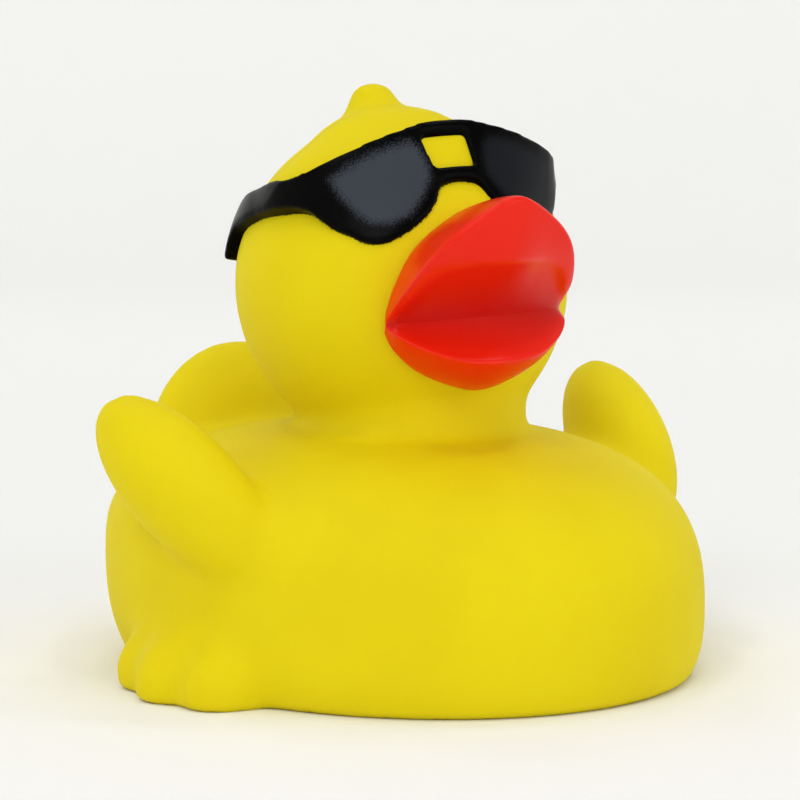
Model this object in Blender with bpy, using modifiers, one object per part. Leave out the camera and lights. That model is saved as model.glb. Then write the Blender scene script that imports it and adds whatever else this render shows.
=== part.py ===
"""Bath duck in soft vinyl, cast hollow in one piece, its bill and sunglasses moulded in relief and painted.

It stands with +Z up, looks along -Y and has its right side at -X. The origin is under the middle of its box.
"""

import math

import bmesh
import bpy
from mathutils import Euler, Matrix, Vector

MM = 0.001

# Body: a flattened tub between two level planes, widest higher up at the rump than at the chest
BODY_HALF_WIDTH = 42.4 * MM
BODY_HALF_LENGTH = 48.2 * MM
BODY_TOP = 35.8 * MM
BODY_FLOOR = -11.6 * MM
WIDEST_HEIGHT = 13.6 * MM
WIDEST_SLOPE = 0.12
BODY_SQUARENESS = 2.68
BASE_EDGE_RADIUS = 1.0 * MM

# Neck and head; the head is turned and cocked a little to the duck's right
NECK_RADIUS = 16.4 * MM
NECK_FORWARD = 3.2 * MM
HEAD_RADIUS = 24.7 * MM
HEAD_RISE = 20.7 * MM
HEAD_HEIGHT = BODY_TOP + HEAD_RISE
HEAD_TURN = math.radians(11)
HEAD_ROLL = math.radians(3)
CROWN_RADIUS = 13.8 * MM
CROWN_HALF_HEIGHT = 9.8 * MM
CROWN_BACK = 1.2 * MM
CROWN_SINK = 8.3 * MM
TUFT_RADIUS = 4.9 * MM
TUFT_BACK = 7.0 * MM
TUFT_RISE = 0.3 * MM

# Tail, and the wings and feet as on the duck's left side, mirrored to its right. Each is placed by how far
# its centre is inside the body's outline, or below its top.
TAIL_RADII = (18.4 * MM, 8.5 * MM, 18.6 * MM)
TAIL_INSET = 9.0 * MM
TAIL_DROP = 8.8 * MM
TAIL_LEAN = math.radians(14)
WING_RADII = (7.6 * MM, 17.6 * MM, 8.2 * MM)
WING_INSET = 1.4 * MM
WING_FORWARD = 3.0 * MM
WING_DROP = 6.2 * MM
WING_LIFT = math.radians(38.5)
WING_FLARE = math.radians(10)
WING_TOE_IN = math.radians(11)
TOE_RADII = (6.8 * MM, 9.8 * MM, 7.4 * MM)
TOE_HEIGHT = 2.6 * MM
TOES = ((math.radians(97), 5.4 * MM), (math.radians(83), 3.0 * MM), (math.radians(72), 3.6 * MM))

# Casting
WALL = 1.8 * MM
VENT_RADIUS = 1.5 * MM
VENT_SEGMENTS = 24

# Meshing
BLEND_VOXEL = 1.1 * MM
BLEND_PASSES = 8
RELIEF_VOXEL = 0.75 * MM
RELIEF_PASSES = 2
CAVITY_VOXEL = 1.2 * MM
SKIN_FACES = 5600
BILL_FACES = 1500
GLASSES_FACES = 2200
FLOOR_FACES = 200
CAVITY_FACES = 2800

# Bill in the head's frame, as half stations from the middle out to the mouth corner. Each holds, as
# (across, forward, up), the upper root, upper rim, lip, mouth line, lower rim and lower root. They are in a
# unit that follows the head, so that the bill grows with it.
BILL_UNIT = HEAD_RADIUS / 24.7
BILL_STATIONS = (
    ((0, 22.4, 11.7), (0, 36.7, 14.1), (0, 34.9, 4.9),
     (0, 26.6, -3.2), (0, 31.5, -9.3), (0, 20.9, -14.4)),
    ((5.0, 22.5, 10.1), (6.5, 35.0, 10.8), (6.5, 32.3, 4.5),
     (6.5, 25.6, -3.2), (6.0, 30.3, -8.8), (5.0, 20.9, -13.0)),
    ((9.7, 22.3, 6.6), (11.0, 32.1, 6.3), (9.7, 29.8, 2.9),
     (10.5, 24.4, -3.3), (10.6, 27.9, -7.0), (9.4, 20.7, -10.7)),
    ((12.4, 21.9, 1.9), (13.6, 27.0, 0.7), (12.4, 26.5, -0.2),
     (12.8, 23.3, -3.4), (13.3, 25.0, -5.2), (12.4, 20.5, -7.6)),
    ((13.4, 21.0, -2.0), (14.0, 22.3, -2.9), (13.9, 22.3, -3.3),
     (13.9, 22.2, -3.6), (14.0, 22.2, -4.0), (13.6, 20.7, -4.9)),
)
# How far each side of a station bows outwards, from the upper root on
BILL_BOWS = (0.4 * MM, 0.5 * MM, -0.8 * MM, -0.5 * MM, 1.0 * MM)
BILL_SINK = 0.55
BILL_STEPS = 6

# Sunglasses: their outline in degrees round the head (turn, lift), in a frame that is tilted back
GLASSES_TILT = math.radians(40)
EDGE_RELIEF = 0.6 * MM
BROW_RELIEF = 4.8 * MM
ARM_RELIEF = 1.8 * MM
GLASSES_SINK = 2.5 * MM
WINDOW_RECESS = 1.3 * MM
WINDOW_LAP = 1.2
RELIEF_FOOT = -8.0
RELIEF_POWER = 1.8
ARM_JOINT = (52.0, 64.0)
BROW_LINE = (
    (0, 16.6), (7, 16.4), (15, 14.8), (22, 14.0), (29, 13.2), (35, 12.8), (41, 12.8), (46, 13.6), (52, 16.2),
)
ARM_LINE = (
    (57, 21), (66, 28), (75, 34), (83, 38), (90, 38.5), (97, 36), (102, 32), (104.5, 28),
    (104.5, 25.2), (102, 23.8), (98, 24.6), (91, 26.5), (86, 26), (77.5, 22.4), (70.5, 19), (59, 11.8),
)
RIM_LINE = (
    (54, 8.4), (50, 4.5), (48, 0.5), (45.3, -4.5), (41.2, -9.3), (38.1, -13.2), (33.5, -16),
    (28.2, -16.4), (21.3, -14.8), (15, -11.9), (10.5, -7.8), (7.2, -2.8), (3, -1.4), (0, -1.2),
)
WINDOW = ((-7.4, 12.4), (7.2, 12.4), (6.8, 3.2), (-6.8, 3.2))
OUTLINE_STEPS = 4
PLATE_DEPTH = 5.0 * MM


def clear_scene():
    for old in list(bpy.data.objects):
        bpy.data.objects.remove(old)


def new_material(name, colour, roughness):
    material = bpy.data.materials.new(name)
    material.use_nodes = True
    shader = material.node_tree.nodes["Principled BSDF"]
    shader.inputs["Base Color"].default_value = (*colour, 1)
    shader.inputs["Roughness"].default_value = roughness
    return material


def new_object(name, bm, collection):
    mesh = bpy.data.meshes.new(name)
    bm.to_mesh(mesh)
    bm.free()
    made = bpy.data.objects.new(name, mesh)
    collection.objects.link(made)
    return made


def add_modifier(made, kind, **settings):
    modifier = made.modifiers.new(kind.title(), kind)
    for setting, value in settings.items():
        setattr(modifier, setting, value)


def apply_modifiers(made):
    """The evaluated mesh in place of the object's own, with no modifier left."""
    graph = bpy.context.evaluated_depsgraph_get()
    shaped = bpy.data.meshes.new_from_object(made.evaluated_get(graph))
    made.modifiers.clear()
    made.data = shaped


def thin_out(made, faces):
    """The mesh reduced to about this many triangles."""
    corners = sum(len(face.vertices) - 2 for face in made.data.polygons)
    add_modifier(made, "DECIMATE", ratio=min(1, faces / corners))
    apply_modifiers(made)


def head_frame():
    """From the head's own upright frame, centred in the head, to the duck's."""
    turned = Matrix.Rotation(-HEAD_TURN, 4, "Z") @ Matrix.Rotation(-HEAD_ROLL, 4, "Y")
    return Matrix.Translation((0, 0, HEAD_HEIGHT)) @ turned


def add_ball(bm, radii, matrix):
    bmesh.ops.create_uvsphere(
        bm, u_segments=48, v_segments=32, radius=1, matrix=matrix @ Matrix.Diagonal((*radii, 1))
    )


def add_body(bm):
    """A ball squared off in height and moved so that its widest line slopes up to the rump."""
    made = bmesh.ops.create_uvsphere(bm, u_segments=64, v_segments=48, radius=1)
    power = 2 / BODY_SQUARENESS
    for vert in made["verts"]:
        across = math.hypot(vert.co.x, vert.co.y)
        reach = across**power / across if across > 0 else 0
        x = vert.co.x * reach * BODY_HALF_WIDTH
        y = vert.co.y * reach * BODY_HALF_LENGTH
        widest = WIDEST_HEIGHT + WIDEST_SLOPE * y
        end = BODY_TOP if vert.co.z > 0 else BODY_FLOOR
        vert.co = (x, y, widest + abs(vert.co.z) ** power * (end - widest))


def add_head(bm):
    head = head_frame()
    add_ball(bm, (HEAD_RADIUS,) * 3, head)
    crown = Matrix.Translation((0, CROWN_BACK, HEAD_RADIUS - CROWN_SINK))
    add_ball(bm, (CROWN_RADIUS, CROWN_RADIUS, CROWN_HALF_HEIGHT), head @ crown)
    tuft = Matrix.Translation((0, TUFT_BACK, HEAD_RADIUS + TUFT_RISE))
    add_ball(bm, (TUFT_RADIUS,) * 3, head @ tuft)
    bmesh.ops.create_cone(
        bm,
        cap_ends=True,
        segments=48,
        radius1=NECK_RADIUS,
        radius2=NECK_RADIUS,
        depth=HEAD_HEIGHT - WIDEST_HEIGHT,
        matrix=Matrix.Translation((0, -NECK_FORWARD, (WIDEST_HEIGHT + HEAD_HEIGHT) / 2)),
    )


def add_tail(bm):
    place = Matrix.Translation((0, BODY_HALF_LENGTH - TAIL_INSET, BODY_TOP - TAIL_DROP))
    add_ball(bm, TAIL_RADII, place @ Matrix.Rotation(-TAIL_LEAN, 4, "X"))


def add_wings(bm):
    for side in (1, -1):
        across = side * (BODY_HALF_WIDTH - WING_INSET)
        place = Matrix.Translation((across, -WING_FORWARD, BODY_TOP - WING_DROP))
        turn = Euler((WING_LIFT, side * WING_FLARE, -side * WING_TOE_IN)).to_matrix().to_4x4()
        add_ball(bm, WING_RADII, place @ turn)


def add_feet(bm):
    for side in (1, -1):
        for angle, inset in TOES:
            turn = Matrix.Rotation(side * angle, 4, "Z")
            add_ball(bm, TOE_RADII, turn @ Matrix.Translation((0, inset - BODY_HALF_WIDTH, TOE_HEIGHT)))


def cut_flat(made, height):
    """Everything below a level plane cut away and the cut closed."""
    bm = bmesh.new()
    bm.from_mesh(made.data)
    geometry = bm.verts[:] + bm.edges[:] + bm.faces[:]
    cut = bmesh.ops.bisect_plane(
        bm, geom=geometry, plane_co=(0, 0, height), plane_no=(0, 0, 1), clear_inner=True, dist=1e-6
    )
    rim = [edge for edge in cut["geom_cut"] if isinstance(edge, bmesh.types.BMEdge)]
    bmesh.ops.holes_fill(bm, edges=rim, sides=0)
    bmesh.ops.recalc_face_normals(bm, faces=bm.faces[:])
    bm.to_mesh(made.data)
    bm.free()


def tuck_base_edge(made):
    """The skin drawn in just above the base, which rounds the edge that it stands on."""
    for vert in made.data.vertices:
        drop = min(max(BASE_EDGE_RADIUS - vert.co.z, 0), BASE_EDGE_RADIUS)
        across = math.hypot(vert.co.x, vert.co.y)
        if drop > 0 and across > 0:
            tuck = BASE_EDGE_RADIUS - math.sqrt(BASE_EDGE_RADIUS**2 - drop**2)
            vert.co.x *= 1 - tuck / across
            vert.co.y *= 1 - tuck / across


def make_form(name, collection):
    """Body, head, tail, wings and feet melted into one soft form that still runs on below the base."""
    bm = bmesh.new()
    add_body(bm)
    add_head(bm)
    add_tail(bm)
    add_wings(bm)
    add_feet(bm)
    form = new_object(name, bm, collection)
    add_modifier(form, "REMESH", mode="VOXEL", voxel_size=BLEND_VOXEL)
    add_modifier(form, "SMOOTH", factor=0.5, iterations=BLEND_PASSES)
    apply_modifiers(form)
    return form


def between(p, q, r, s, t):
    """Catmull-Rom: the value at t from q to r, with p before them and s after."""
    bend = 2 * p - 5 * q + 4 * r - s
    twist = 3 * q - p - 3 * r + s
    return 0.5 * (2 * q + (r - p) * t + bend * t**2 + twist * t**3)


def through(points, steps):
    """A smooth line through the points, with its ends kept."""
    line = []
    padded = [points[0]] + list(points) + [points[-1]]
    for window in zip(padded, padded[1:], padded[2:], padded[3:]):
        for step in range(steps):
            line.append(tuple(between(*values, step / steps) for values in zip(*window)))
    line.append(tuple(points[-1]))
    return line


def bowed(points):
    """A station's outline with each of its sides bowed, closed by a root sunk into the head."""
    line = []
    full = (BILL_STATIONS[0][1][2] - BILL_STATIONS[0][4][2]) * BILL_UNIT
    size = (points[1] - points[4]).length / full
    for a, b, bow in zip(points, points[1:], BILL_BOWS):
        side = b - a
        outward = Vector((0, side.z, -side.y)).normalized()
        for step in range(BILL_STEPS):
            t = step / BILL_STEPS
            line.append(a + side * t + outward * (bow * size * 4 * t * (1 - t)))
    line.append(points[-1])
    line += [points[-1] * BILL_SINK, points[0] * BILL_SINK]
    return line


def make_bill(name, collection):
    """A loft from mouth corner to mouth corner over the head's bill stations."""
    half = [[Vector((x, -y, z)) * BILL_UNIT for x, y, z in station] for station in BILL_STATIONS]
    mirrored = [[Vector((-p.x, p.y, p.z)) for p in station] for station in half[:0:-1]]
    lines = [through(line, BILL_STEPS) for line in zip(*(mirrored + half))]
    bm = bmesh.new()
    rings = []
    for station in zip(*lines):
        rings.append([bm.verts.new(point) for point in bowed([Vector(point) for point in station])])
    for ring, following in zip(rings, rings[1:]):
        for i in range(len(ring)):
            j = (i + 1) % len(ring)
            bm.faces.new((ring[i], following[i], following[j], ring[j]))
    bm.faces.new(rings[0])
    bm.faces.new(rings[-1])
    bmesh.ops.recalc_face_normals(bm, faces=bm.faces[:])
    bill = new_object(name, bm, collection)
    bill.data.transform(head_frame())
    add_modifier(bill, "REMESH", mode="VOXEL", voxel_size=RELIEF_VOXEL)
    add_modifier(bill, "SMOOTH", factor=0.5, iterations=RELIEF_PASSES)
    apply_modifiers(bill)
    return bill


def on_face(turn, lift, radius):
    """A point round the head from its angles on the glasses' tilted frame."""
    ahead = Vector((0, -math.cos(GLASSES_TILT), math.sin(GLASSES_TILT)))
    above = Vector((0, math.sin(GLASSES_TILT), math.cos(GLASSES_TILT)))
    flat = math.cos(lift)
    way = Vector((flat * math.sin(turn), 0, 0)) + ahead * flat * math.cos(turn) + above * math.sin(lift)
    return head_frame() @ (way * radius)


def top_lift(turn):
    """The lift in degrees of the glasses' top edge at a turn."""
    for (a, low), (b, high) in zip(BROW_LINE, BROW_LINE[1:]):
        if a <= turn <= b:
            return low + (high - low) * (turn - a) / (b - a)
    return BROW_LINE[-1][1]


def relief_at(turn, lift):
    """How far the glasses stand off the head: least at the lower rim, most at the brow, even on the arms."""
    turn, lift = abs(math.degrees(turn)), math.degrees(lift)
    rise = (lift - RELIEF_FOOT) / (top_lift(turn) - RELIEF_FOOT)
    front = EDGE_RELIEF + (BROW_RELIEF - EDGE_RELIEF) * min(max(rise, 0), 1) ** RELIEF_POWER
    start, end = ARM_JOINT
    share = min(max((turn - start) / (end - start), 0), 1)
    share *= share * (3 - 2 * share)
    return front + (ARM_RELIEF - front) * share


def flat_solid(points, name, collection, depth):
    """A closed outline, filled and given depth."""
    curve = bpy.data.curves.new(name, "CURVE")
    curve.dimensions = "2D"
    curve.fill_mode = "BOTH"
    curve.extrude = depth / 2
    spline = curve.splines.new("POLY")
    spline.points.add(len(points) - 1)
    degree = HEAD_RADIUS * math.radians(1)
    for point, (x, y) in zip(spline.points, points):
        point.co = (x * degree, y * degree, 0, 1)
    spline.use_cyclic_u = True
    flat = bpy.data.objects.new(name, curve)
    collection.objects.link(flat)
    graph = bpy.context.evaluated_depsgraph_get()
    bm = bmesh.new()
    bm.from_mesh(bpy.data.meshes.new_from_object(flat.evaluated_get(graph)))
    bmesh.ops.remove_doubles(bm, verts=bm.verts[:], dist=1e-6)
    bmesh.ops.recalc_face_normals(bm, faces=bm.faces[:])
    bpy.data.objects.remove(flat)
    return new_object(name, bm, collection)


def wrapped(plate, recess):
    """The plate made bendable and laid round the head, its front this far under the glasses' relief."""
    add_modifier(plate, "REMESH", mode="VOXEL", voxel_size=RELIEF_VOXEL)
    add_modifier(plate, "SMOOTH", factor=0.5, iterations=RELIEF_PASSES)
    apply_modifiers(plate)
    for vert in plate.data.vertices:
        turn, lift = vert.co.x / HEAD_RADIUS, vert.co.y / HEAD_RADIUS
        share = vert.co.z / PLATE_DEPTH + 0.5
        stand = relief_at(turn, lift) - recess + GLASSES_SINK
        vert.co = on_face(turn, lift, HEAD_RADIUS - GLASSES_SINK + share * stand)


def make_glasses(name, collection):
    """The frame with its window cut out over the bridge."""
    half = through(BROW_LINE + ARM_LINE + RIM_LINE, OUTLINE_STEPS)
    glasses = flat_solid(half + [(-x, y) for x, y in half[-2:0:-1]], name, collection, PLATE_DEPTH)
    cutter = flat_solid(WINDOW, name + "_window", collection, PLATE_DEPTH * 2)
    add_modifier(glasses, "BOOLEAN", operation="DIFFERENCE", object=cutter)
    apply_modifiers(glasses)
    bpy.data.objects.remove(cutter)
    wrapped(glasses, 0)
    return glasses


def make_window_floor(name, collection):
    """The bare vinyl at the bottom of the window, lapped under the frame round it."""
    middle = sum(lift for _, lift in WINDOW) / len(WINDOW)
    outline = [(turn * WINDOW_LAP, middle + (lift - middle) * WINDOW_LAP) for turn, lift in WINDOW]
    floor = flat_solid(outline, name, collection, PLATE_DEPTH)
    wrapped(floor, WINDOW_RECESS)
    return floor


def make_cavity(form, bill, collection):
    """The hollow that casting leaves: the same skin drawn inwards by the wall."""
    bm = bmesh.new()
    bm.from_mesh(form.data)
    bm.from_mesh(bill.data)
    cavity = new_object("cavity", bm, collection)
    add_modifier(cavity, "REMESH", mode="VOXEL", voxel_size=BLEND_VOXEL)
    add_modifier(cavity, "DISPLACE", strength=-WALL, mid_level=0)
    add_modifier(cavity, "REMESH", mode="VOXEL", voxel_size=CAVITY_VOXEL)
    apply_modifiers(cavity)
    thin_out(cavity, CAVITY_FACES)
    cut_flat(cavity, WALL)
    return cavity


def centre(made):
    """The mesh moved so that the middle of its box is over the origin."""
    points = [vert.co for vert in made.data.vertices]
    middle = [(min(p[axis] for p in points) + max(p[axis] for p in points)) / 2 for axis in range(2)]
    made.data.transform(Matrix.Translation((-middle[0], -middle[1], 0)))


def main():
    clear_scene()
    parts = bpy.data.collections.new("rubber_duck")
    tools = bpy.data.collections.new("shaping")
    for collection in (parts, tools):
        bpy.context.scene.collection.children.link(collection)
    yellow = new_material("yellow_vinyl", (0.86, 0.72, 0.01), 0.45)
    red = new_material("bill_paint", (0.75, 0.03, 0.01), 0.3)
    black = new_material("glasses_paint", (0.005, 0.005, 0.006), 0.2)

    duck = make_form("duck", parts)
    bill = make_bill("bill_form", tools)
    floor = make_window_floor("window_floor", tools)
    glasses = make_glasses("glasses_form", tools)
    cavity = make_cavity(duck, bill, tools)
    tuck_base_edge(duck)
    cut_flat(duck, 0)
    thin_out(duck, SKIN_FACES)
    thin_out(bill, BILL_FACES)
    thin_out(glasses, GLASSES_FACES)
    thin_out(floor, FLOOR_FACES)
    bm = bmesh.new()
    bmesh.ops.create_cone(
        bm, cap_ends=True, segments=VENT_SEGMENTS, radius1=VENT_RADIUS, radius2=VENT_RADIUS, depth=WALL * 6
    )
    vent = new_object("vent_cutter", bm, tools)
    in_yellow = (duck, floor, cavity, vent)
    for made, material in (*((made, yellow) for made in in_yellow), (bill, red), (glasses, black)):
        made.data.materials.clear()
        made.data.materials.append(material)
    for helper in (floor, bill, glasses, cavity, vent):
        helper.hide_render = True
        helper.display_type = "WIRE"
    for other in (floor, bill, glasses):
        add_modifier(duck, "BOOLEAN", operation="UNION", object=other, material_mode="TRANSFER")
    for other in (cavity, vent):
        add_modifier(duck, "BOOLEAN", operation="DIFFERENCE", object=other, material_mode="TRANSFER")
    apply_modifiers(duck)
    centre(duck)
    duck.data.shade_smooth()
    duck.data.set_sharp_from_angle(angle=math.radians(35))


main()
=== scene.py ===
import math

import bmesh
import bpy
import numpy as np
from mathutils import Euler, Matrix, Vector


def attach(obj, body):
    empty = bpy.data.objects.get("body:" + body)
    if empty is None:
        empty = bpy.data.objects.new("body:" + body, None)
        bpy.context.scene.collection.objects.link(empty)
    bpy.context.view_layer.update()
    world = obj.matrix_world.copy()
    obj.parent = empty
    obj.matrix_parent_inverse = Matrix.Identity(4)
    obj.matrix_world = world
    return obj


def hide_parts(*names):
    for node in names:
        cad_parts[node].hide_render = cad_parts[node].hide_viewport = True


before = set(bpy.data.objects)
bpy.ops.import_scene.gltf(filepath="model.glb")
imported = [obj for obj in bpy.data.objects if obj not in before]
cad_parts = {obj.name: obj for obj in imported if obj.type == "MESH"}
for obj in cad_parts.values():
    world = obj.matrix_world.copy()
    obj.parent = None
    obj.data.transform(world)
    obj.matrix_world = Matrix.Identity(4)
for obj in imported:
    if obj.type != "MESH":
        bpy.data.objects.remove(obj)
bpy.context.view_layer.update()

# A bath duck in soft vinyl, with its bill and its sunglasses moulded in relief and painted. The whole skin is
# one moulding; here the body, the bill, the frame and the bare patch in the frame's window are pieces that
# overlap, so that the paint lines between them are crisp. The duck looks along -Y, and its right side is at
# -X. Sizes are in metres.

MM = 0.001

# Body: a flattened tub between two level planes, widest higher up at the rump than at the chest
BODY_HALF_WIDTH = 42.4 * MM
BODY_HALF_LENGTH = 48.2 * MM
BODY_TOP = 35.8 * MM
BODY_FLOOR = -11.6 * MM
WIDEST_HEIGHT = 13.6 * MM
WIDEST_SLOPE = 0.12
BODY_SQUARENESS = 2.68
BASE_EDGE_RADIUS = 1.0 * MM

# Neck and head; the head is turned and cocked a little to the duck's right
NECK_RADIUS = 16.4 * MM
NECK_FORWARD = 3.2 * MM
HEAD_RADIUS = 24.7 * MM
HEAD_HEIGHT = 56.5 * MM
HEAD_TURN = math.radians(11)
HEAD_ROLL = math.radians(3)
CROWN_RADIUS = 13.8 * MM
CROWN_HALF_HEIGHT = 9.8 * MM
CROWN_BACK = 1.2 * MM
CROWN_RISE = 16.4 * MM
TUFT_RADIUS = 3.8 * MM
TUFT_NECK_RADIUS = 3.42 * MM
TUFT_FOOT_RADIUS = 11.4 * MM
TUFT_BACK = 6.8 * MM
TUFT_RISE = 26.1 * MM
TUFT_HEIGHT = 10.0 * MM

# Tail, and the wings and feet as on the duck's left side, mirrored to its right
TAIL_RADII = (18.4 * MM, 8.5 * MM, 18.6 * MM)
TAIL_BACK = 39.2 * MM
TAIL_HEIGHT = 27.0 * MM
TAIL_LEAN = math.radians(14)
WING_RADII = (7.6 * MM, 17.6 * MM, 8.2 * MM)
WING_PLACE = (41.0 * MM, -3.0 * MM, 29.6 * MM)
WING_LIFT = math.radians(38.5)
WING_FLARE = math.radians(10)
WING_TOE_IN = math.radians(11)
# The fill in front of a wing's root
SHOULDER_RADII = (6.5 * MM, 11.0 * MM, 8.0 * MM)
SHOULDER_PLACE = (33.6 * MM, -12.5 * MM, 19.5 * MM)
# Toes, and the low mound that joins them, each placed by its angle from straight ahead and its reach
TOE_RADII = (6.6 * MM, 9.8 * MM, 7.4 * MM)
TOE_HEIGHT = 2.6 * MM
TOES = ((math.radians(97), 37.0 * MM), (math.radians(85.5), 39.4 * MM), (math.radians(74.5), 38.8 * MM))
FOOT_RADII = (13.0 * MM, 10.6 * MM, 9.0 * MM)
FOOT_PLACE = (math.radians(84), 36.8 * MM)
VENT_RADIUS = 1.5 * MM
VENT_DEPTH = 8.0 * MM
VENT_SEGMENTS = 48

# Bill in the head's frame, as half stations from the middle out to the mouth corner. Each holds, as
# (across, forward, up) in mm, the upper root, upper rim, lip, mouth line, lower rim and lower root.
BILL_STATIONS = (
    ((0, 22.4, 11.7), (0, 36.7, 14.1), (0, 34.9, 4.9), (0, 26.6, -3.2), (0, 31.5, -9.3), (0, 20.9, -14.4)),
    ((5.0, 22.5, 10.1), (6.5, 35.0, 10.8), (6.5, 32.3, 4.5),
     (6.5, 25.6, -3.2), (6.0, 30.3, -8.8), (5.0, 20.9, -13.0)),
    ((9.7, 22.3, 6.6), (11.0, 32.1, 6.3), (9.7, 29.8, 2.9),
     (10.5, 24.4, -3.3), (10.6, 27.9, -7.0), (9.4, 20.7, -10.7)),
    ((12.4, 21.9, 1.9), (13.6, 27.0, 0.7), (12.4, 26.5, -0.2),
     (12.8, 23.3, -3.4), (13.3, 25.0, -5.2), (12.4, 20.5, -7.6)),
    ((13.4, 21.0, -2.0), (14.0, 22.3, -2.9), (13.9, 22.3, -3.3),
     (13.9, 22.2, -3.6), (14.0, 22.2, -4.0), (13.6, 20.7, -4.9)),
)
# How far each side of a station bows outwards, from the upper root on, and the red's tint at its two ends: 1
# is more orange, a thinner layer and painted yellow bounce light off the head and body, and -1 is deeper,
# painted mouth shade
BILL_BOWS = (0.4 * MM, 0.5 * MM, -0.8 * MM, -0.5 * MM, 1.0 * MM)
BILL_TINT_AND_SHADE = ((1.0, 0.8), (0.0, 0.0), (-0.1, -1.0), (-0.8, 0.0), (0.7, 0.7))
# The roots' copies sunk into the head are at this share of their distance from the head's centre
BILL_SINK = 0.55
BILL_STEPS = 20
BILL_ROUNDING = 14
# The side of a station that starts at the mouth line, whose crease stays sharp
MOUTH_SIDE = 3

# Sunglasses: their outline in degrees round the head (turn, lift), in a frame that is tilted back
GLASSES_TILT = math.radians(40)
EDGE_RELIEF = 0.6 * MM
BROW_RELIEF = 4.8 * MM
ARM_RELIEF = 1.8 * MM
GLASSES_SINK = 2.5 * MM
# The relief grows from this lift up to the brow, and gives way to the arms' between these two turns
RELIEF_FOOT = -8.0
RELIEF_POWER = 1.8
ARM_JOINT = (43.0, 72.0)
BROW_LINE = (
    (0, 16.6), (7, 16.4), (15, 14.8), (22, 14.0), (29, 13.2), (35, 12.8), (41, 12.8), (46, 13.6), (52, 16.2),
)
ARM_LINE = (
    (57, 21), (66, 28), (75, 34), (83, 38), (90, 38.5), (97, 36), (102, 32), (104.5, 28), (104.5, 25.2),
    (102, 23.8), (98, 24.6), (91, 26.5), (86, 26), (77.5, 22.4), (70.5, 19), (59, 11.8),
)
RIM_LINE = (
    (54, 8.4), (50, 4.5), (48, 0.5), (45.3, -4.5), (41.2, -9.3), (38.1, -13.2), (33.5, -16), (28.2, -16.4),
    (21.3, -14.8), (15, -11.9), (10.5, -7.8), (7.2, -2.8), (3, -1.4), (0, -1.2),
)
WINDOW = ((-9.6, 12.8), (5.8, 12.8), (7.2, 2.8), (-7.4, 2.8))
WINDOW_RECESS = 0.9 * MM
WINDOW_LAP = 1.2
LENS = (
    (40.1, 8.3), (36.1, 9.1), (30.4, 10), (24.9, 10.8), (19.2, 11.3), (13, 11.6), (10.5, 9.5), (9, 4),
    (9.6, -0.5), (13.8, -6), (20.1, -11.3), (27.9, -12), (33.7, -9.1), (36.9, -4), (39.2, 2),
)
# The duck's left lens looks nearly black in the photograph, so its painted reflection of the key softbox is
# this share of the right one's
LEFT_LENS_REFLECTION_SHARE = 0.2
OUTLINE_STEPS = 8
PLATE_DEPTH = 5.0 * MM
# Skin within this lift of the glasses' level can catch spray from the frame
SPRAY_LIFT = 70

# Meshing, fine enough for a close view; segments of a ball are round it and up it
BODY_SEGMENTS = (64, 48)
BALL_SEGMENTS = (48, 32)
TUFT_SEGMENTS = 48
NECK_SEGMENTS = 96
BLEND_VOXEL = 1.2 * MM
BLEND_PASSES = 7
RELIEF_VOXEL = 0.36 * MM
RELIEF_PASSES = 5
SHARP_ANGLE = math.radians(35)

# How large the patterns in the materials are, as real sizes; soft_vinyl says where one is drawn coarser
PIGMENT_DRIFT = 25 * MM
SATIN_GRAIN = 0.714 * MM
FRAME_SPECK = 0.3125 * MM
COVERAGE_DRIFT = 6.25 * MM
ORANGE_PEEL = 1.54 * MM
LENS_SPECK = 0.2174 * MM

# Sockets of the node that mixes two colours, by number, because their names aren't unique on it
MIX_SHARE, MIX_FIRST, MIX_SECOND = 0, 6, 7
MIXED_COLOUR = 2

# The photograph's camera
CAMERA_TURN = math.radians(38)
CAMERA_DISTANCE = 430 * MM
CAMERA_HEIGHT = 84 * MM
CAMERA_AIM = (-0.2 * MM, -0.1 * MM, 39 * MM)
CAMERA_LENS = 130.8
CAMERA_FAR_END = 20

# The set: a round sweep of paper, level out to here, then bent up over this radius to this height
SWEEP_LEVEL = 0.9
SWEEP_BEND = 0.6
SWEEP_TOP = 0.9
SWEEP_SIDES = 96
SWEEP_BEND_STEPS = 15

# Light: an even sky, two softboxes as (name, place, size, watts) that point at the duck, and lamps in a ring
# over it that point outwards at the sweep
SKY_STRENGTH = 0.38
SOFTBOXES = (("key_softbox", (-0.75, -0.45, 0.75), 0.5, 2.3), ("front_softbox", (0.1, -0.95, 0.45), 0.5, 1.0))
SOFTBOX_TARGET = (0, 0, 0.045)
SWEEP_LAMPS = 6
SWEEP_LAMP_SIZE = 0.3
SWEEP_LAMP_WATTS = 2.9
SWEEP_LAMP_RING = 0.45
SWEEP_LAMP_HEIGHT = 1.05
SWEEP_LAMP_TARGET = (1.395, 0.3)


def linear(hexcode):
    """An sRGB hex colour as linear RGBA."""
    channels = [int(hexcode[i:i + 2], 16) / 255 for i in (1, 3, 5)]
    return (*[c / 12.92 if c <= 0.04045 else ((c + 0.055) / 1.055) ** 2.4 for c in channels], 1)


# Shapes
def new_object(name, bm):
    mesh = bpy.data.meshes.new(name)
    bm.to_mesh(mesh)
    bm.free()
    made = bpy.data.objects.new(name, mesh)
    bpy.context.scene.collection.objects.link(made)
    return made


def add_modifier(made, kind, **settings):
    modifier = made.modifiers.new(kind.title(), kind)
    for setting, value in settings.items():
        setattr(modifier, setting, value)


def apply_modifiers(made):
    """The evaluated mesh in place of the object's own, with no modifier left."""
    graph = bpy.context.evaluated_depsgraph_get()
    shaped = bpy.data.meshes.new_from_object(made.evaluated_get(graph))
    made.modifiers.clear()
    made.data = shaped


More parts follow.
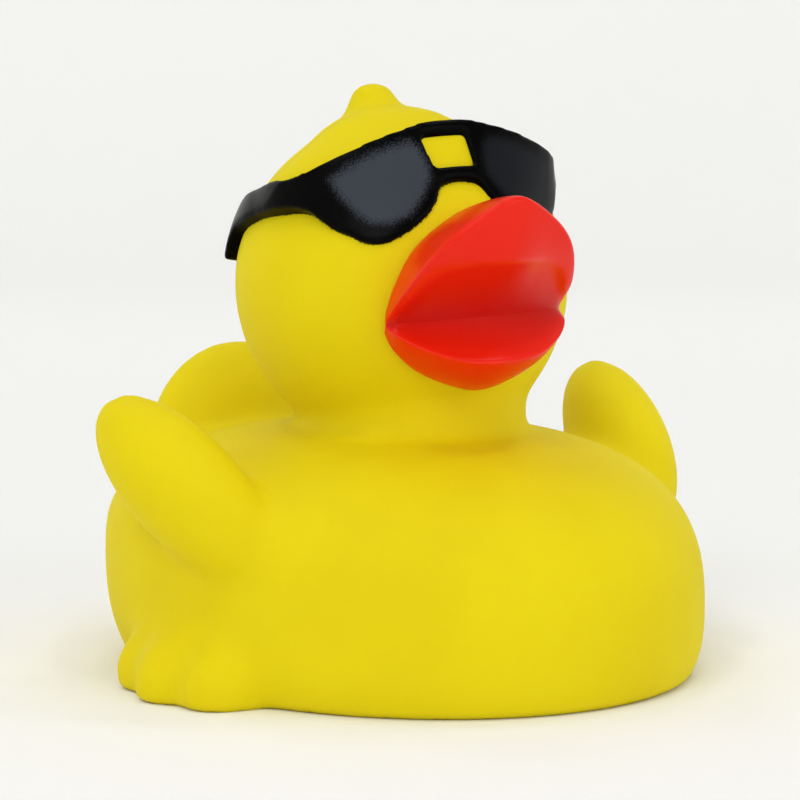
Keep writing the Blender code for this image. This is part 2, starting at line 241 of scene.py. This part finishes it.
def head_frame():
    """From the head's own upright frame, centred in the head, to the duck's."""
    turned = Matrix.Rotation(-HEAD_TURN, 4, "Z") @ Matrix.Rotation(-HEAD_ROLL, 4, "Y")
    return Matrix.Translation((0, 0, HEAD_HEIGHT)) @ turned


def add_ball(bm, radii, matrix):
    around, up = BALL_SEGMENTS
    stretched = matrix @ Matrix.Diagonal((*radii, 1))
    bmesh.ops.create_uvsphere(bm, u_segments=around, v_segments=up, radius=1, matrix=stretched)


def add_body(bm):
    """A ball squared off in height and moved so that its widest line slopes up to the rump."""
    around, up = BODY_SEGMENTS
    made = bmesh.ops.create_uvsphere(bm, u_segments=around, v_segments=up, radius=1)
    power = 2 / BODY_SQUARENESS
    for vert in made["verts"]:
        across = math.hypot(vert.co.x, vert.co.y)
        reach = across**power / across if across > 0 else 0
        x = vert.co.x * reach * BODY_HALF_WIDTH
        y = vert.co.y * reach * BODY_HALF_LENGTH
        widest = WIDEST_HEIGHT + WIDEST_SLOPE * y
        end = BODY_TOP if vert.co.z > 0 else BODY_FLOOR
        vert.co = (x, y, widest + abs(vert.co.z) ** power * (end - widest))


def add_head(bm):
    head = head_frame()
    add_ball(bm, (HEAD_RADIUS,) * 3, head)
    crown = Matrix.Translation((0, CROWN_BACK, CROWN_RISE))
    add_ball(bm, (CROWN_RADIUS, CROWN_RADIUS, CROWN_HALF_HEIGHT), head @ crown)
    add_ball(bm, (TUFT_RADIUS,) * 3, head @ Matrix.Translation((0, TUFT_BACK, TUFT_RISE)))
    bmesh.ops.create_cone(
        bm,
        cap_ends=True,
        segments=TUFT_SEGMENTS,
        radius1=TUFT_FOOT_RADIUS,
        radius2=TUFT_NECK_RADIUS,
        depth=TUFT_HEIGHT,
        matrix=head @ Matrix.Translation((0, TUFT_BACK, TUFT_RISE - TUFT_HEIGHT / 2)),
    )
    bmesh.ops.create_cone(
        bm,
        cap_ends=True,
        segments=NECK_SEGMENTS,
        radius1=NECK_RADIUS,
        radius2=NECK_RADIUS,
        depth=HEAD_HEIGHT - WIDEST_HEIGHT,
        matrix=Matrix.Translation((0, -NECK_FORWARD, (WIDEST_HEIGHT + HEAD_HEIGHT) / 2)),
    )


def add_tail(bm):
    place = Matrix.Translation((0, TAIL_BACK, TAIL_HEIGHT)) @ Matrix.Rotation(-TAIL_LEAN, 4, "X")
    add_ball(bm, TAIL_RADII, place)


def add_wings(bm):
    for side in (1, -1):
        x, y, z = WING_PLACE
        turn = Euler((WING_LIFT, side * WING_FLARE, -side * WING_TOE_IN)).to_matrix().to_4x4()
        add_ball(bm, WING_RADII, Matrix.Translation((side * x, y, z)) @ turn)
        x, y, z = SHOULDER_PLACE
        add_ball(bm, SHOULDER_RADII, Matrix.Translation((side * x, y, z)) @ turn)


def add_feet(bm):
    for side in (1, -1):
        for angle, reach in TOES:
            turn = Matrix.Rotation(side * angle, 4, "Z")
            add_ball(bm, TOE_RADII, turn @ Matrix.Translation((0, -reach, TOE_HEIGHT)))
        angle, reach = FOOT_PLACE
        turn = Matrix.Rotation(side * angle, 4, "Z")
        add_ball(bm, FOOT_RADII, turn @ Matrix.Translation((0, -reach, TOE_HEIGHT)))


def tuck_base_edge(made):
    """The skin drawn in just above the base, which rounds the edge that it stands on."""
    for vert in made.data.vertices:
        drop = min(max(BASE_EDGE_RADIUS - vert.co.z, 0), BASE_EDGE_RADIUS)
        across = math.hypot(vert.co.x, vert.co.y)
        if drop > 0 and across > 0:
            tuck = BASE_EDGE_RADIUS - math.sqrt(BASE_EDGE_RADIUS**2 - drop**2)
            vert.co.x *= 1 - tuck / across
            vert.co.y *= 1 - tuck / across


def cut_base(made):
    """Everything below the ground cut away, the cut closed, and the vent hole made in it."""
    bm = bmesh.new()
    bm.from_mesh(made.data)
    skin = bm.verts[:] + bm.edges[:] + bm.faces[:]
    cut = bmesh.ops.bisect_plane(
        bm, geom=skin, plane_co=(0, 0, 0), plane_no=(0, 0, 1), clear_inner=True, dist=1e-6
    )
    rim = [edge for edge in cut["geom_cut"] if isinstance(edge, bmesh.types.BMEdge)]
    bmesh.ops.holes_fill(bm, edges=rim, sides=0)
    bmesh.ops.recalc_face_normals(bm, faces=bm.faces[:])
    bm.to_mesh(made.data)
    bm.free()
    bm = bmesh.new()
    bmesh.ops.create_cone(
        bm,
        cap_ends=True,
        segments=VENT_SEGMENTS,
        radius1=VENT_RADIUS,
        radius2=VENT_RADIUS,
        depth=VENT_DEPTH * 2,
    )
    vent = new_object("vent_cutter", bm)
    add_modifier(made, "BOOLEAN", operation="DIFFERENCE", object=vent)
    apply_modifiers(made)
    bpy.data.objects.remove(vent)


def make_body():
    """Body, head, tail, wings and feet melted into one soft form."""
    bm = bmesh.new()
    add_body(bm)
    add_head(bm)
    add_tail(bm)
    add_wings(bm)
    add_feet(bm)
    body = new_object("duck_skin", bm)
    add_modifier(body, "REMESH", mode="VOXEL", voxel_size=BLEND_VOXEL)
    add_modifier(body, "SMOOTH", factor=0.5, iterations=BLEND_PASSES)
    add_modifier(body, "SUBSURF", levels=1, render_levels=1)
    apply_modifiers(body)
    tuck_base_edge(body)
    cut_base(body)
    return body


def through(points, steps):
    """A Catmull-Rom line through the points, with its ends kept."""
    line = []
    padded = [points[0]] + list(points) + [points[-1]]
    for a, b, c, d in zip(padded, padded[1:], padded[2:], padded[3:]):
        for step in range(steps):
            t = step / steps
            line.append(tuple(
                0.5 * (
                    2 * q + (r - p) * t + (2 * p - 5 * q + 4 * r - s) * t**2 + (3 * q - p - 3 * r + s) * t**3
                )
                for p, q, r, s in zip(a, b, c, d)
            ))
    line.append(tuple(points[-1]))
    return line


def bowed(points):
    """A station's outline as (point, red's tint: above zero orange, below zero painted shade), its sides
    bowed, closed by a root in the head.
    """
    line = []
    full = BILL_STATIONS[0][1][2] - BILL_STATIONS[0][4][2]
    size = (points[1] - points[4]).length / (full * MM)
    for a, b, bow, (start, end) in zip(points, points[1:], BILL_BOWS, BILL_TINT_AND_SHADE):
        side = b - a
        outward = Vector((0, side.z, -side.y)).normalized()
        for step in range(BILL_STEPS):
            t = step / BILL_STEPS
            bulge = outward * (bow * size * 4 * t * (1 - t))
            line.append((a + side * t + bulge, start + (end - start) * t))
    line.append((points[-1], BILL_TINT_AND_SHADE[-1][1]))
    line += [(points[-1] * BILL_SINK, 1.0), (points[0] * BILL_SINK, 1.0)]
    return line


def make_bill():
    """A loft over the bill stations from mouth corner to mouth corner, softened but for the mouth line."""
    half = [[Vector((x, -y, z)) * MM for x, y, z in station] for station in BILL_STATIONS]
    mirrored = [[Vector((-p.x, p.y, p.z)) for p in station] for station in half[:0:-1]]
    lines = [through(line, BILL_STEPS) for line in zip(*(mirrored + half))]
    bm = bmesh.new()
    tint_and_shade_layer = bm.verts.layers.float.new("red_tint_and_shade")
    crease = []
    rings = []
    for station in zip(*lines):
        ring = []
        for point, tint_and_shade in bowed([Vector(point) for point in station]):
            vert = bm.verts.new(point)
            vert[tint_and_shade_layer] = tint_and_shade
            crease.append(len(ring) == MOUTH_SIDE * BILL_STEPS)
            ring.append(vert)
        rings.append(ring)
    for ring, following in zip(rings, rings[1:]):
        for i in range(len(ring)):
            j = (i + 1) % len(ring)
            bm.faces.new((ring[i], following[i], following[j], ring[j]))
    bm.faces.new(rings[0])
    bm.faces.new(rings[-1])
    bmesh.ops.recalc_face_normals(bm, faces=bm.faces[:])
    bill = new_object("duck_bill", bm)
    rounded = bill.vertex_groups.new(name="rounded")
    rounded.add([i for i, sharp in enumerate(crease) if not sharp], 1.0, "REPLACE")
    add_modifier(bill, "SMOOTH", factor=0.5, iterations=BILL_ROUNDING, vertex_group="rounded")
    apply_modifiers(bill)
    bill.data.transform(head_frame())
    return bill


def face_axes():
    """Ahead of and above the middle of the sunglasses, in the head's frame."""
    ahead = Vector((0, -math.cos(GLASSES_TILT), math.sin(GLASSES_TILT)))
    above = Vector((0, math.sin(GLASSES_TILT), math.cos(GLASSES_TILT)))
    return ahead, above


def on_face(turn, lift, radius):
    """A point round the head from its angles on the glasses' tilted frame."""
    ahead, above = face_axes()
    flat = math.cos(lift)
    way = Vector((flat * math.sin(turn), 0, 0)) + ahead * flat * math.cos(turn) + above * math.sin(lift)
    return head_frame() @ (way * radius)


def face_angles(mesh):
    """Each vertex's turn and lift in degrees round the head, and its distance from the head's centre."""
    points = np.empty(len(mesh.vertices) * 3)
    mesh.vertices.foreach_get("co", points)
    back = np.array(head_frame().inverted())
    points = points.reshape(-1, 3) @ back[:3, :3].T + back[:3, 3]
    ahead, above = (np.array(axis) for axis in face_axes())
    radius = np.linalg.norm(points, axis=1)
    turn = np.degrees(np.arctan2(points[:, 0], points @ ahead))
    lift = np.degrees(np.arcsin(np.clip(points @ above / np.maximum(radius, 1e-9), -1, 1)))
    return np.stack([turn, lift], axis=1), radius


def depth_inside(points, outline):
    """How far in degrees each point is inside a closed outline, and below zero outside it."""
    corners = np.array(outline, float)
    nearest = np.full(len(points), 1e9)
    inside = np.zeros(len(points), bool)
    for a, b in zip(corners, np.roll(corners, -1, axis=0)):
        side = b - a
        share = np.clip(((points - a) @ side) / max(side @ side, 1e-12), 0, 1)
        nearest = np.minimum(nearest, np.linalg.norm(points - a - share[:, None] * side, axis=1))
        crosses = (a[1] > points[:, 1]) != (b[1] > points[:, 1])
        rise = side[1] if side[1] else 1e-12
        inside ^= crosses & (points[:, 0] < a[0] + (points[:, 1] - a[1]) * side[0] / rise)
    return np.where(inside, nearest, -nearest)


def keep_on_vertices(made, name, values):
    layer = made.data.attributes.new(name, "FLOAT", "POINT")
    layer.data.foreach_set("value", np.asarray(values, np.float32))


def top_lift(turn):
    """The lift in degrees of the glasses' top edge at a turn."""
    for (a, low), (b, high) in zip(BROW_LINE, BROW_LINE[1:]):
        if a <= turn <= b:
            return low + (high - low) * (turn - a) / (b - a)
    return BROW_LINE[-1][1]


def relief_at(turn, lift):
    """How far the glasses stand off the head: little at the rim, most along the brow, even on the arms."""
    turn, lift = abs(math.degrees(turn)), math.degrees(lift)
    rise = (lift - RELIEF_FOOT) / (top_lift(turn) - RELIEF_FOOT)
    front = EDGE_RELIEF + (BROW_RELIEF - EDGE_RELIEF) * min(max(rise, 0), 1) ** RELIEF_POWER
    start, end = ARM_JOINT
    share = min(max((turn - start) / (end - start), 0), 1)
    share *= share * (3 - 2 * share)
    return front + (ARM_RELIEF - front) * share


def glasses_outline():
    half = through(BROW_LINE + ARM_LINE + RIM_LINE, OUTLINE_STEPS)
    return half + [(-x, y) for x, y in half[-2:0:-1]]


def flat_plate(points, name, depth):
    """A closed outline in degrees, laid flat at the head's scale, filled and given depth."""
    curve = bpy.data.curves.new(name, "CURVE")
    curve.dimensions = "2D"
    curve.fill_mode = "BOTH"
    curve.extrude = depth / 2
    spline = curve.splines.new("POLY")
    spline.points.add(len(points) - 1)
    degree = HEAD_RADIUS * math.radians(1)
    for point, (x, y) in zip(spline.points, points):
        point.co = (x * degree, y * degree, 0, 1)
    spline.use_cyclic_u = True
    flat = bpy.data.objects.new(name, curve)
    bpy.context.scene.collection.objects.link(flat)
    graph = bpy.context.evaluated_depsgraph_get()
    bm = bmesh.new()
    bm.from_mesh(bpy.data.meshes.new_from_object(flat.evaluated_get(graph)))
    bmesh.ops.remove_doubles(bm, verts=bm.verts[:], dist=1e-6)
    bmesh.ops.recalc_face_normals(bm, faces=bm.faces[:])
    bpy.data.objects.remove(flat)
    return new_object(name, bm)


def wrapped(plate, recess):
    """The flat plate made bendable and laid round the head, its front this far under the glasses' relief."""
    add_modifier(plate, "REMESH", mode="VOXEL", voxel_size=RELIEF_VOXEL)
    add_modifier(plate, "SMOOTH", factor=0.5, iterations=RELIEF_PASSES)
    apply_modifiers(plate)
    for vert in plate.data.vertices:
        turn, lift = vert.co.x / HEAD_RADIUS, vert.co.y / HEAD_RADIUS
        share = vert.co.z / PLATE_DEPTH + 0.5
        stand = relief_at(turn, lift) - recess + GLASSES_SINK
        vert.co = on_face(turn, lift, HEAD_RADIUS - GLASSES_SINK + share * stand)


def make_glasses():
    """The frame with its window cut out over the bridge."""
    glasses = flat_plate(glasses_outline(), "duck_sunglasses", PLATE_DEPTH)
    cutter = flat_plate(WINDOW, "window_cutter", PLATE_DEPTH * 2)
    add_modifier(glasses, "BOOLEAN", operation="DIFFERENCE", object=cutter)
    apply_modifiers(glasses)
    bpy.data.objects.remove(cutter)
    wrapped(glasses, 0)
    return glasses


def make_window_floor():
    """The bare vinyl at the bottom of the window, lapped under the frame round it."""
    middle = sum(lift for _, lift in WINDOW) / len(WINDOW)
    outline = [(turn * WINDOW_LAP, middle + (lift - middle) * WINDOW_LAP) for turn, lift in WINDOW]
    floor = flat_plate(outline, "duck_bridge_patch", PLATE_DEPTH)
    wrapped(floor, WINDOW_RECESS)
    return floor


def mark_paint(body, patch, glasses):
    """For the materials: how deep in a lens the frame's points are, and how near the frame the skin's are."""
    degree = HEAD_RADIUS * math.radians(1)
    angles, _ = face_angles(glasses.data)
    # Painted reflection: the share of the lenses' grey, full on the right lens and cut on the left, which
    # faces away from the key softbox
    reflection_share = np.where(angles[:, 0] < 0, 1.0, LEFT_LENS_REFLECTION_SHARE)
    angles[:, 0] = np.abs(angles[:, 0])
    keep_on_vertices(glasses, "lens_depth", depth_inside(angles, LENS) * degree)
    keep_on_vertices(glasses, "lens_reflection_share", reflection_share)
    angles, radius = face_angles(body.data)
    near = (radius < HEAD_RADIUS + CROWN_RADIUS) & (np.abs(angles[:, 1]) < SPRAY_LIFT)
    spread = np.full(len(radius), -1.0)
    spread[near] = depth_inside(angles[near], glasses_outline()) * degree
    keep_on_vertices(body, "frame_depth", spread)
    keep_on_vertices(patch, "frame_depth", np.full(len(patch.data.vertices), -1.0))


# Materials
def set_inputs(tree, node, inputs):
    """Each socket given its value, or a link where the value is another node's socket."""
    for socket, value in inputs.items():
        if isinstance(value, bpy.types.NodeSocket):
            tree.links.new(value, node.inputs[socket])
        else:
            node.inputs[socket].default_value = value


def add_node(tree, kind, inputs, **settings):
    """A node with its settings and links."""
    made = tree.nodes.new(kind)
    for setting, value in settings.items():
        setattr(made, setting, value)
    set_inputs(tree, made, inputs)
    return made


def new_material(name):
    material = bpy.data.materials.new(name)
    material.use_nodes = True
    tree = material.node_tree
    return material, tree, tree.nodes["Principled BSDF"]


def soft_vinyl():
    """Plasticised PVC, coloured through and cast against a satin mould.

    Light sinks a little way in, so its shadows stay warm, and its highlights are broad and weak.
    """
    material, tree, shader = new_material("cast_soft_vinyl")
    place = add_node(tree, "ShaderNodeTexCoord", {}).outputs["Object"]
    # The pigment drifts over about 25 mm between two yellows that are hard to tell apart
    drift = add_node(
        tree, "ShaderNodeTexNoise", {"Vector": place, "Scale": 1 / PIGMENT_DRIFT, "Detail": 2}
    ).outputs["Fac"]
    share = add_node(
        tree,
        "ShaderNodeMapRange",
        {"Value": drift, "From Min": 0.3, "From Max": 0.7},
        interpolation_type="SMOOTHSTEP",
    ).outputs["Result"]
    yellow = add_node(
        tree,
        "ShaderNodeMix",
        {MIX_SHARE: share, MIX_FIRST: linear("#E6D206"), MIX_SECOND: linear("#E1CC04")},
        data_type="RGBA",
    ).outputs[MIXED_COLOUR]
    # Dust of the frame's black spray round its edge, in specks of about 0.3 mm
    edge = add_node(tree, "ShaderNodeAttribute", {}, attribute_name="frame_depth").outputs["Fac"]
    speck = add_node(
        tree, "ShaderNodeTexNoise", {"Vector": place, "Scale": 1 / FRAME_SPECK, "Detail": 2}
    ).outputs["Fac"]
    reach = add_node(tree, "ShaderNodeMath", {0: speck, 1: 1.0 * MM}, operation="MULTIPLY").outputs[0]
    dusted = add_node(tree, "ShaderNodeMath", {0: edge, 1: reach}, operation="ADD").outputs[0]
    spray = add_node(
        tree,
        "ShaderNodeMapRange",
        {"Value": dusted, "From Min": 0.38 * MM, "From Max": 0.52 * MM},
        interpolation_type="SMOOTHSTEP",
    ).outputs["Result"]
    colour = add_node(
        tree,
        "ShaderNodeMix",
        {MIX_SHARE: spray, MIX_FIRST: yellow, MIX_SECOND: linear("#15130A")},
        data_type="RGBA",
    ).outputs[MIXED_COLOUR]
    # The mould's satin grain is drawn at 0.7 mm, because the real grain of 0.1 mm is too fine to show
    grain = add_node(
        tree, "ShaderNodeTexNoise", {"Vector": place, "Scale": 1 / SATIN_GRAIN, "Detail": 3}
    ).outputs["Fac"]
    rough = add_node(
        tree, "ShaderNodeMapRange", {"Value": grain, "To Min": 0.62, "To Max": 0.72}
    ).outputs["Result"]
    bump = add_node(
        tree, "ShaderNodeBump", {"Height": grain, "Strength": 0.12, "Distance": 0.05 * MM}
    ).outputs["Normal"]
    set_inputs(tree, shader, {"Base Color": colour, "Roughness": rough, "Normal": bump})
    set_inputs(tree, shader, {"IOR": 1.53, "Specular IOR Level": 0.12})
    set_inputs(tree, shader, {"Subsurface Weight": 0.2, "Subsurface Scale": 3 * MM})
    set_inputs(tree, shader, {"Subsurface Radius": (1.0, 0.7, 0.12)})
    return material


def bill_paint():
    """Red vinyl paint, masked and sprayed on.

    It is fairly glossy, more orange with a thinner layer and painted yellow bounce light, and deeper with
    painted mouth shade.
    """
    material, tree, shader = new_material("sprayed_red_vinyl_paint")
    place = add_node(tree, "ShaderNodeTexCoord", {}).outputs["Object"]
    tint_and_shade = add_node(tree, "ShaderNodeAttribute", {}, attribute_name="red_tint_and_shade").outputs["Fac"]
    # The coat's thickness drifts over about 6 mm
    drift = add_node(
        tree, "ShaderNodeTexNoise", {"Vector": place, "Scale": 1 / COVERAGE_DRIFT, "Detail": 2}
    ).outputs["Fac"]
    amount = add_node(tree, "ShaderNodeMath", {0: tint_and_shade, 1: drift}, operation="MULTIPLY").outputs[0]
    share = add_node(
        tree,
        "ShaderNodeMapRange",
        {"Value": amount, "From Min": 0.0, "From Max": 0.75},
        interpolation_type="SMOOTHSTEP",
    ).outputs["Result"]
    # The orange stands for a thinner layer, and is partly a painted reflection of yellow light bounced off
    # the head and body
    red = add_node(
        tree,
        "ShaderNodeMix",
        {MIX_SHARE: share, MIX_FIRST: linear("#E81E06"), MIX_SECOND: linear("#E83603")},
        data_type="RGBA",
    ).outputs[MIXED_COLOUR]
    # Painted shade: below zero the red deepens towards #C40E03, in the mouth's crease, which faces down
    mouth_shade = add_node(tree, "ShaderNodeMath", {0: tint_and_shade, 1: -1.0}, operation="MULTIPLY").outputs[0]
    share = add_node(
        tree,
        "ShaderNodeMapRange",
        {"Value": mouth_shade, "From Min": 0.0, "From Max": 1.1},
        interpolation_type="SMOOTHSTEP",
    ).outputs["Result"]
    colour = add_node(
        tree,
        "ShaderNodeMix",
        {MIX_SHARE: share, MIX_FIRST: red, MIX_SECOND: linear("#C40E03")},
        data_type="RGBA",
    ).outputs[MIXED_COLOUR]
    # An orange-peel waviness of about 1.5 mm softens the reflections
    peel = add_node(
        tree, "ShaderNodeTexNoise", {"Vector": place, "Scale": 1 / ORANGE_PEEL, "Detail": 1}
    ).outputs["Fac"]
    bump = add_node(
        tree, "ShaderNodeBump", {"Height": peel, "Strength": 0.1, "Distance": 0.04 * MM}
    ).outputs["Normal"]
    set_inputs(tree, shader, {"Base Color": colour, "Roughness": 0.3, "Normal": bump})
    set_inputs(tree, shader, {"IOR": 1.5, "Specular IOR Level": 0.2})
    set_inputs(tree, shader, {"Subsurface Weight": 0.08, "Subsurface Scale": 2 * MM})
    return material


def glasses_paint():
    """Black vinyl paint, with satin paint sprayed over the lenses.

    The black is deep, with only a weak sheen. The lenses' graphite grey is a painted reflection of the key
    softbox, and fades out in specks.
    """
    material, tree, shader = new_material("sprayed_black_vinyl_paint")
    place = add_node(tree, "ShaderNodeTexCoord", {}).outputs["Object"]
    depth = add_node(tree, "ShaderNodeAttribute", {}, attribute_name="lens_depth").outputs["Fac"]
    # Specks of about 0.2 mm, over an edge that fades out over about 2 mm
    speck = add_node(
        tree, "ShaderNodeTexNoise", {"Vector": place, "Scale": 1 / LENS_SPECK, "Detail": 3}
    ).outputs["Fac"]
    shift = add_node(
        tree,
        "ShaderNodeMapRange",
        {"Value": speck, "From Min": 0.3, "From Max": 0.7, "To Min": -0.7 * MM, "To Max": 0.5 * MM},
    ).outputs["Result"]
    coated = add_node(tree, "ShaderNodeMath", {0: depth, 1: shift}, operation="ADD").outputs[0]
    lens = add_node(
        tree,
        "ShaderNodeMapRange",
        {"Value": coated, "From Min": -0.6 * MM, "From Max": 1.0 * MM},
        interpolation_type="SMOOTHSTEP",
    ).outputs["Result"]
    # The left lens gets only a share of the painted reflection
    reflection_share = add_node(tree, "ShaderNodeAttribute", {}, attribute_name="lens_reflection_share").outputs["Fac"]
    lens = add_node(tree, "ShaderNodeMath", {0: lens, 1: reflection_share}, operation="MULTIPLY").outputs[0]
    # Painted reflection: the lens patch goes graphite grey, #3B4048, as if its satin showed the key softbox
    colour = add_node(
        tree,
        "ShaderNodeMix",
        {MIX_SHARE: lens, MIX_FIRST: linear("#020202"), MIX_SECOND: linear("#3B4048")},
        data_type="RGBA",
    ).outputs[MIXED_COLOUR]
    rough = add_node(
        tree, "ShaderNodeMapRange", {"Value": lens, "To Min": 0.28, "To Max": 0.5}
    ).outputs["Result"]
    bump = add_node(
        tree, "ShaderNodeBump", {"Height": speck, "Strength": 0.12, "Distance": 0.04 * MM}
    ).outputs["Normal"]
    set_inputs(tree, shader, {"Base Color": colour, "Roughness": rough, "Normal": bump})
    set_inputs(tree, shader, {"IOR": 1.5, "Specular IOR Level": 0.04})
    return material


def backdrop_paper():
    """White backdrop paper, uncoated, so it is matt and shows no reflection."""
    material, tree, shader = new_material("white_backdrop_paper")
    set_inputs(tree, shader, {"Base Color": linear("#F7F7F5"), "Roughness": 0.9, "Specular IOR Level": 0.1})
    return material


# The set
def make_backdrop():
    """A round sweep of paper: level under the duck and curving up all round, so that each view ends on it."""
    profile = [(SWEEP_LEVEL, 0)]
    for step in range(1, SWEEP_BEND_STEPS + 1):
        angle = math.radians(90) * step / SWEEP_BEND_STEPS
        profile.append((SWEEP_LEVEL + SWEEP_BEND * math.sin(angle), SWEEP_BEND * (1 - math.cos(angle))))
    profile.append((SWEEP_LEVEL + SWEEP_BEND, SWEEP_TOP))
    bm = bmesh.new()
    rings = []
    for radius, z in profile:
        ring = []
        for i in range(SWEEP_SIDES):
            angle = 2 * math.pi * i / SWEEP_SIDES
            ring.append(bm.verts.new((radius * math.cos(angle), radius * math.sin(angle), z)))
        rings.append(ring)
    bm.faces.new(rings[0])
    for ring, following in zip(rings, rings[1:]):
        for i in range(SWEEP_SIDES):
            j = (i + 1) % SWEEP_SIDES
            bm.faces.new((ring[i], following[i], following[j], ring[j]))
    backdrop = new_object("backdrop", bm)
    backdrop.data.shade_smooth()
    backdrop.data.materials.append(backdrop_paper())


def aim(thing, place, target):
    thing.location = place
    thing.rotation_euler = (Vector(target) - Vector(place)).to_track_quat("-Z", "Y").to_euler()


def add_softbox(name, place, size, watts, target):
    light = bpy.data.lights.new(name, "AREA")
    light.shape = "DISK"
    light.size = size
    light.energy = watts
    box = bpy.data.objects.new(name, light)
    bpy.context.scene.collection.objects.link(box)
    aim(box, place, target)


def add_light():
    """An even sky, a softbox at the camera's left, a weaker one at its right, and lamps on the sweep."""
    world = bpy.data.worlds.new("open_top")
    bpy.context.scene.world = world
    world.use_nodes = True
    sky = world.node_tree.nodes["Background"]
    set_inputs(world.node_tree, sky, {"Color": (1, 1, 1, 1), "Strength": SKY_STRENGTH})
    for name, place, size, watts in SOFTBOXES:
        add_softbox(name, place, size, watts, SOFTBOX_TARGET)
    # The lamps light the paper but hardly the duck, so that each view ends on white
    reach, height = SWEEP_LAMP_TARGET
    for i in range(SWEEP_LAMPS):
        angle = 2 * math.pi * i / SWEEP_LAMPS
        away = Vector((math.cos(angle), math.sin(angle), 0))
        place = away * SWEEP_LAMP_RING + Vector((0, 0, SWEEP_LAMP_HEIGHT))
        target = away * reach + Vector((0, 0, height))
        add_softbox(f"sweep_lamp_{i}", place, SWEEP_LAMP_SIZE, SWEEP_LAMP_WATTS, target)


def add_camera():
    camera = bpy.data.cameras.new("photograph")
    camera.sensor_width = 36
    camera.lens = CAMERA_LENS
    camera.clip_end = CAMERA_FAR_END
    view = bpy.data.objects.new("photograph", camera)
    bpy.context.scene.collection.objects.link(view)
    target = Vector(CAMERA_AIM)
    ahead = Vector((-math.sin(CAMERA_TURN), -math.cos(CAMERA_TURN), 0)) * CAMERA_DISTANCE
    place = Vector((target.x, target.y, CAMERA_HEIGHT)) + ahead
    aim(view, place, target)
    bpy.context.scene.camera = view


def dress_duck():
    """The four pieces, painted, and placed with the middle of their box on the duck's own origin."""
    body = make_body()
    bill = make_bill()
    glasses = make_glasses()
    patch = make_window_floor()
    mark_paint(body, patch, glasses)
    vinyl = soft_vinyl()
    dressed = (
        (body, vinyl, "vinyl"),
        (patch, vinyl, "vinyl"),
        (bill, bill_paint(), "bill_paint"),
        (glasses, glasses_paint(), "glasses_paint"),
    )
    corners = np.array([vert.co for piece, _, _ in dressed for vert in piece.data.vertices])
    middle = (corners.min(axis=0) + corners.max(axis=0)) / 2
    for piece, material, slot in dressed:
        piece.data.transform(Matrix.Translation((-middle[0], -middle[1], 0)))
        piece.data.shade_smooth()
        piece.data.set_sharp_from_angle(angle=SHARP_ANGLE)
        piece.data.materials.clear()
        piece.data.materials.append(material)
        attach(piece, "root")
        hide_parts("duck")


dress_duck()
make_backdrop()
add_light()
add_camera()
# The plain transform keeps the yellow and the red as saturated as in the photograph
bpy.context.scene.view_settings.view_transform = "Standard"
